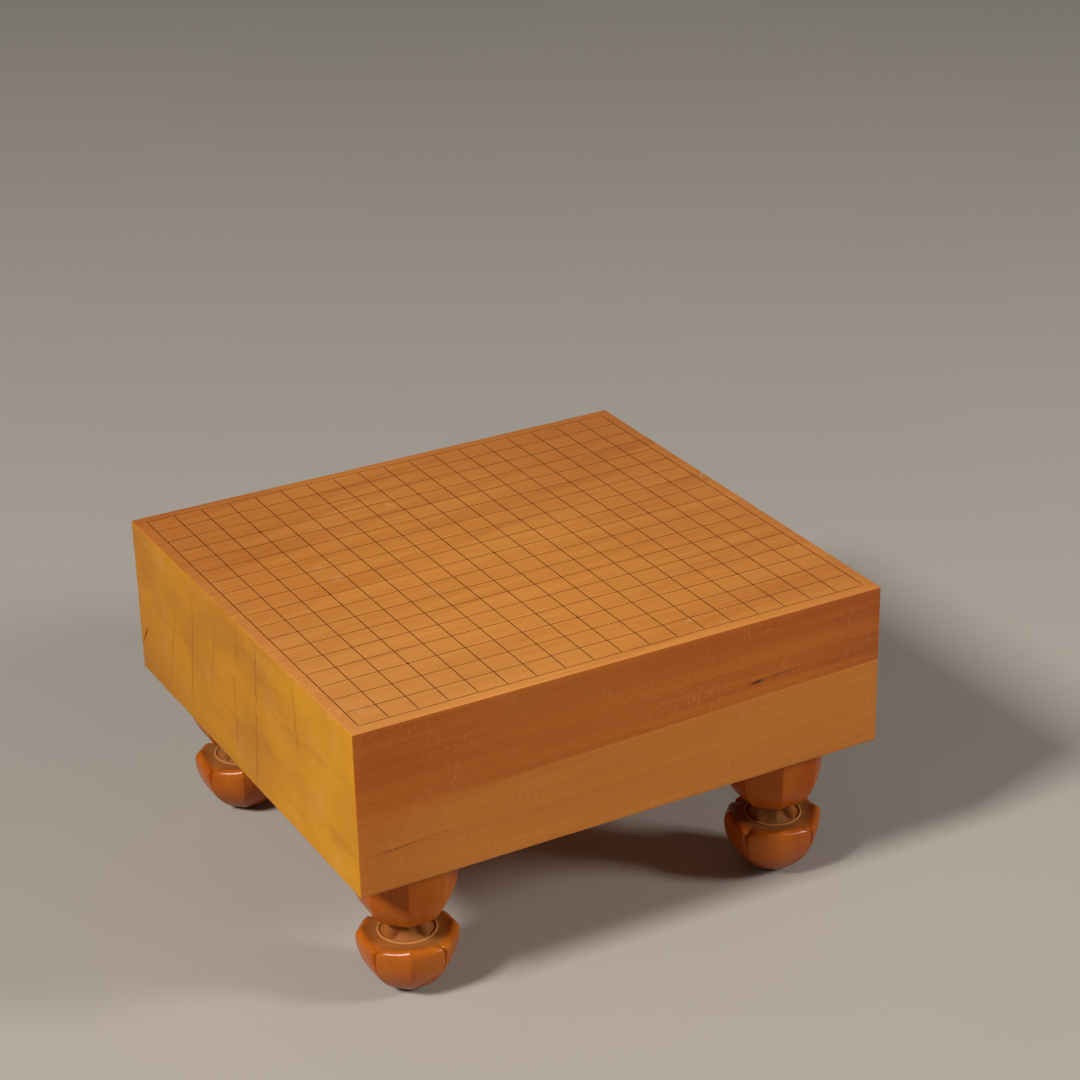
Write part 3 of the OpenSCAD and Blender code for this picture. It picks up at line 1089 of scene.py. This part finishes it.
def grid_lines(name, node, height, worn_share, ends_of):
    """All the lines of one direction, as one piece."""
    piece = mesh_piece(name, "board", node)
    shape = bmesh.new()
    for i in range(LINE_COUNT):
        start, end = ends_of(i / (LINE_COUNT - 1) * 2 - 1)
        lacquer_line(shape, start, end, height)
    bmesh.ops.recalc_face_normals(shape, faces=shape.faces)
    shape.to_mesh(piece.data)
    shape.free()
    shade_smooth(piece.data, LINE_CREASE)
    piece.data.materials.append(lacquer_finish(name + "_finish", worn_share))
    print(name, "has", len(piece.data.polygons), "faces")


def along_ends(t):
    """Ends of a line along the grain, for t from -1 at the front to 1 at the back."""
    y = t * GRID_HALF_Y
    reach = GRID_HALF_X + LINE_WIDTH / 2
    return Vector((-reach, y, TOP)), Vector((reach, y, TOP))


def across_ends(t):
    """Ends of a line across the grain, for t from -1 at the left to 1 at the right."""
    x = t * GRID_HALF_X
    reach = GRID_HALF_Y + LINE_WIDTH / 2
    return Vector((x, -reach, TOP)), Vector((x, reach, TOP))


grid_lines("lacquer_lines_along", "lines_along_grain", ALONG_HEIGHT, ALONG_WORN, along_ends)
grid_lines("lacquer_lines_across", "lines_across_grain", ACROSS_HEIGHT, ACROSS_WORN, across_ends)

# %% [markdown]
# Nine small dots mark the star points. Each is a single touch of lacquer, so it is a low dome with a
# slightly uneven edge.

# %% The star points
STAR_RADIUS = 0.0012
STAR_RINGS = 5
STAR_SIDES = 24
STAR_LINES = [3, 9, 15]
STAR_UNEVEN = 0.08
STAR_CYCLES = 900
STAR_WORN = 0.1


def star_dot(shape, middle, height):
    """One low dome with a slightly uneven edge."""
    rings = []
    for ring in range(STAR_RINGS):
        a = math.pi / 2 * ring / STAR_RINGS
        points = []
        for k in range(STAR_SIDES):
            turn = 2 * math.pi * k / STAR_SIDES
            edge = Vector((math.cos(turn), math.sin(turn), 0))
            change = noise.noise((middle + edge * STAR_RADIUS) * STAR_CYCLES)
            uneven = 1 - STAR_UNEVEN * (0.5 + 0.5 * change)
            reach = edge * (STAR_RADIUS * uneven * math.cos(a))
            points.append(shape.verts.new(middle + reach + Vector((0, 0, height * math.sin(a)))))
        rings.append(points)
    for low, high in zip(rings, rings[1:]):
        for k in range(STAR_SIDES):
            n = (k + 1) % STAR_SIDES
            shape.faces.new((low[k], low[n], high[n], high[k]))
    shape.faces.new(rings[-1])
    shape.faces.new(reversed(rings[0]))


stars = mesh_piece("lacquer_star_points", "board", "star_points")
star_shape = bmesh.new()
for i in STAR_LINES:
    for j in STAR_LINES:
        x = (i / (LINE_COUNT - 1) * 2 - 1) * GRID_HALF_X
        y = (j / (LINE_COUNT - 1) * 2 - 1) * GRID_HALF_Y
        star_dot(star_shape, Vector((x, y, TOP)), ACROSS_HEIGHT)
star_shape.to_mesh(stars.data)
star_shape.free()
for face in stars.data.polygons:
    face.use_smooth = True
stars.data.materials.append(lacquer_finish("star_finish", STAR_WORN))
print("star points:", len(STAR_LINES) ** 2)

# %% [markdown]
# The stage is a plain pale floor and soft light. One large lamp stands high on the left, so that the
# top and the left end are the brightest faces and the front falls into a soft half shade. A weaker
# lamp, low on the right in front, gives the facets of the legs a second light, and a dim, even world
# fills the shadows.

# %% Stage and light
FLOOR_HALF = 9.0
FLOOR_PALE = (0.49, 0.44, 0.38, 1)
FLOOR_GREY = (0.46, 0.415, 0.36, 1)
FLOOR_ROUGHNESS = 0.7
FLOOR_STRETCH = (1.5, 1.5, 1.5)
KEY_PLACE = (-4.35, -1.10, 4.10)
KEY_SIZE = 1.1
KEY_POWER = 325
FILL_PLACE = (2.65, -2.39, 1.94)
FILL_SIZE = 0.8
FILL_POWER = 72
WORLD_PALE = (1.0, 0.97, 0.93, 1)
WORLD_STRENGTH = 0.08


def floor_finish():
    """Pale matt floor with a slight drift of tone."""
    material, root, place = start_finish("floor_pale")
    drift = grain(place, FLOOR_STRETCH)
    colour = root.mix(FLOOR_PALE, FLOOR_GREY, drift)
    close_finish(root, {"Base Color": colour, "Roughness": FLOOR_ROUGHNESS})
    return material


floor_data = bpy.data.meshes.new("floor")
floor_data.from_pydata(
    [(x * FLOOR_HALF, y * FLOOR_HALF, 0) for x, y in ((-1, -1), (1, -1), (1, 1), (-1, 1))],
    [],
    [(0, 1, 2, 3)],
)
floor = bpy.data.objects.new("floor", floor_data)
bpy.context.scene.collection.objects.link(floor)
floor_data.materials.append(floor_finish())


def soft_lamp(name, place, size, power):
    """A square lamp that faces the middle of the board."""
    data = bpy.data.lights.new(name, "AREA")
    data.size = size
    data.energy = power
    lamp = bpy.data.objects.new(name, data)
    bpy.context.scene.collection.objects.link(lamp)
    lamp.location = place
    aim = Vector((0, 0, TOP / 2)) - Vector(place)
    lamp.rotation_euler = aim.to_track_quat("-Z", "Y").to_euler()


soft_lamp("key_lamp", KEY_PLACE, KEY_SIZE, KEY_POWER)
soft_lamp("fill_lamp", FILL_PLACE, FILL_SIZE, FILL_POWER)
world = bpy.data.worlds.new("pale_world")
world.use_nodes = True
background = world.node_tree.nodes["Background"]
background.inputs["Color"].default_value = WORLD_PALE
background.inputs["Strength"].default_value = WORLD_STRENGTH
bpy.context.scene.world = world
bpy.context.scene.view_settings.view_transform = "Standard"
print("floor, two lamps and a pale world")
